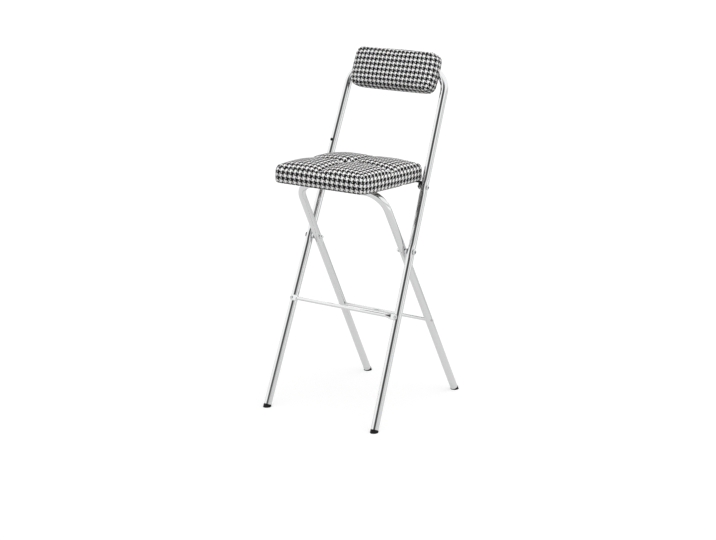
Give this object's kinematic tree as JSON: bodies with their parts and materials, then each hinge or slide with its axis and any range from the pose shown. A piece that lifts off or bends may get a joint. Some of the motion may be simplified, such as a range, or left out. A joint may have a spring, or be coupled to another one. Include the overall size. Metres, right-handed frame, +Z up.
{
  "type": "folding bar stool",
  "caption": "Folding bar stool: scissor frame of bent chromed tube, tufted houndstooth seat that folds up, padded backrest, footrest bar and black rubber feet.",
  "frame": {"origin": "on the floor, in the middle of the stool's footprint as it stands open", "axes": "+Z up, front of the stool towards -Y, +X to the right of someone who looks at it from the back, which is the picture's right"},
  "size_m": [0.4052, 0.4837, 1.0104],
  "materials": {
    "chrome": "polished chrome plate on steel tube and rod",
    "zinc_plate": "bright zinc plate on bolts, nuts and screws",
    "black_rubber": "moulded black rubber, matt",
    "black_plastic": "moulded black plastic, satin",
    "black_steel": "black painted sheet steel",
    "plywood": "pale bare plywood",
    "check_fabric": "woven black and white houndstooth cloth over foam"
  },
  "bodies": {
    "front_frame": {"front_leg_hoop": "chrome", "front_foot_cap_right": "black_rubber", "front_foot_cap_left": "black_rubber", "footrest_bar": "chrome", "footrest_screw_right": "zinc_plate", "footrest_screw_left": "zinc_plate", "scissor_bolt_right": "zinc_plate", "scissor_bolt_left": "zinc_plate", "scissor_spacer_right": "zinc_plate", "scissor_spacer_left": "zinc_plate", "scissor_cap_nut_right": "chrome", "scissor_cap_nut_left": "chrome", "seat_hinge_bolt_right": "zinc_plate", "seat_hinge_bolt_left": "zinc_plate", "seat_hinge_spacer_right": "zinc_plate", "seat_hinge_spacer_left": "zinc_plate", "seat_hinge_nut_right": "zinc_plate", "seat_hinge_nut_left": "zinc_plate", "left_leg_plug": "black_rubber", "backrest_board": "plywood", "backrest_cushion": "check_fabric", "backrest_screw_right": "zinc_plate", "backrest_screw_left": "zinc_plate"},
    "rear_frame": {"rear_leg_hoop": "chrome", "rear_foot_cap_right": "black_rubber", "rear_foot_cap_left": "black_rubber", "rear_rung": "chrome", "rung_screw_right": "zinc_plate", "rung_screw_left": "zinc_plate"},
    "seat": {"seat_board": "plywood", "seat_cushion": "check_fabric", "seat_button": "check_fabric", "seat_bracket_right": "black_steel", "seat_bracket_left": "black_steel", "cross_tube_stop_right": "black_plastic", "cross_tube_stop_left": "black_plastic", "bracket_screw_rear_right": "zinc_plate", "bracket_screw_rear_left": "zinc_plate", "bracket_screw_front_right": "zinc_plate", "bracket_screw_front_left": "zinc_plate", "stop_screw_right": "zinc_plate", "stop_screw_left": "zinc_plate"}
  },
  "joints": [
    {"name": "leg_fold", "type": "hinge", "parent": "front_frame", "child": "rear_frame", "pos_m": [0, -0.03448, 0.47659], "axis": [-1, 0, 0], "range_deg": [0, 49.7]},
    {"name": "seat_fold", "type": "hinge", "parent": "front_frame", "child": "seat", "pos_m": [0, 0.03604, 0.649], "axis": [-1, 0, 0], "range_deg": [0, 88.5]}
  ],
  "couplings": [
    {"joint": "seat_fold", "follows": "leg_fold", "ratio": 1.78}
  ]
}
